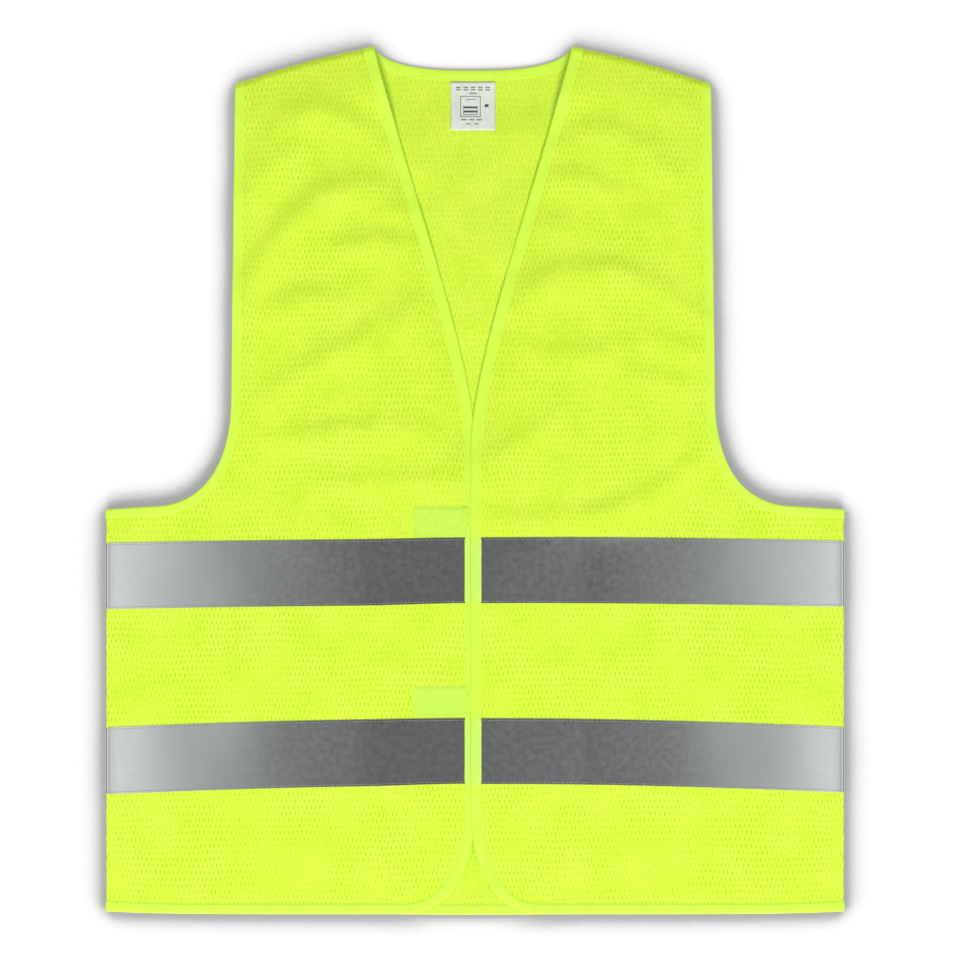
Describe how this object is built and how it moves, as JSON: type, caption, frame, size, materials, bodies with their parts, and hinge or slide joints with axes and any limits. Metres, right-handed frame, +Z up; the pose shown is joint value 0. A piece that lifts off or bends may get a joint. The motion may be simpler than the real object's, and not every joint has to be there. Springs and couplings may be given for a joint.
{
  "type": "high visibility vest",
  "caption": "Sleeveless lime mesh vest with a V neck, two silver reflective bands round the body and a hook-and-loop front, laid flat with its front up.",
  "frame": {"origin": "centre of the vest's footprint, on the surface it lies on", "axes": "+X to the wearer's left, +Y to the neck, +Z up out of the front"},
  "size_m": [0.5626, 0.6626, 0.0123],
  "materials": {
    "mesh_cloth": "matte warp-knit mesh with small holes",
    "binding_tape": "matte woven tape",
    "reflective_tape": "satin glass-bead retroreflective",
    "loop_tape": "soft loop pile",
    "hook_tape": "stiff hooks",
    "label_cloth": "smooth woven label with a printed pictogram"
  },
  "bodies": {
    "vest_body": {"back_panel": "mesh_cloth", "left_front_panel_side": "mesh_cloth", "right_front_panel_side": "mesh_cloth", "back_neck_binding": "binding_tape", "back_hem_binding": "binding_tape", "left_armhole_binding_front": "binding_tape", "left_armhole_binding_back": "binding_tape", "right_armhole_binding_front": "binding_tape", "right_armhole_binding_back": "binding_tape", "left_front_neck_binding": "binding_tape", "right_front_neck_binding": "binding_tape", "left_front_hem_binding": "binding_tape", "right_front_hem_binding": "binding_tape", "upper_band_back": "reflective_tape", "lower_band_back": "reflective_tape", "upper_band_left_side": "reflective_tape", "upper_band_right_side": "reflective_tape", "lower_band_left_side": "reflective_tape", "lower_band_right_side": "reflective_tape"},
    "left_front_flap": {"left_front_panel_flap": "mesh_cloth", "left_front_edge_binding": "binding_tape", "upper_band_left_flap": "reflective_tape", "lower_band_left_flap": "reflective_tape", "upper_hook_patch": "hook_tape", "lower_hook_patch": "hook_tape"},
    "right_front_flap": {"right_front_panel_flap": "mesh_cloth", "right_front_edge_binding": "binding_tape", "upper_band_right_flap": "reflective_tape", "lower_band_right_flap": "reflective_tape", "upper_loop_patch": "loop_tape", "lower_loop_patch": "loop_tape"},
    "label_flap": {"neck_label": "label_cloth"}
  },
  "joints": [
    {"name": "left_front_fold", "type": "hinge", "parent": "vest_body", "child": "left_front_flap", "pos_m": [0.07, 0, 0.0116], "axis": [0, 1, 0], "range_deg": [0, 170]},
    {"name": "right_front_fold", "type": "hinge", "parent": "vest_body", "child": "right_front_flap", "pos_m": [-0.07, 0, 0.0116], "axis": [0, -1, 0], "range_deg": [0, 170]},
    {"name": "label_fold", "type": "hinge", "parent": "vest_body", "child": "label_flap", "pos_m": [0, 0.3051, 0.0026], "axis": [-1, 0, 0], "range_deg": [0, 150]}
  ]
}
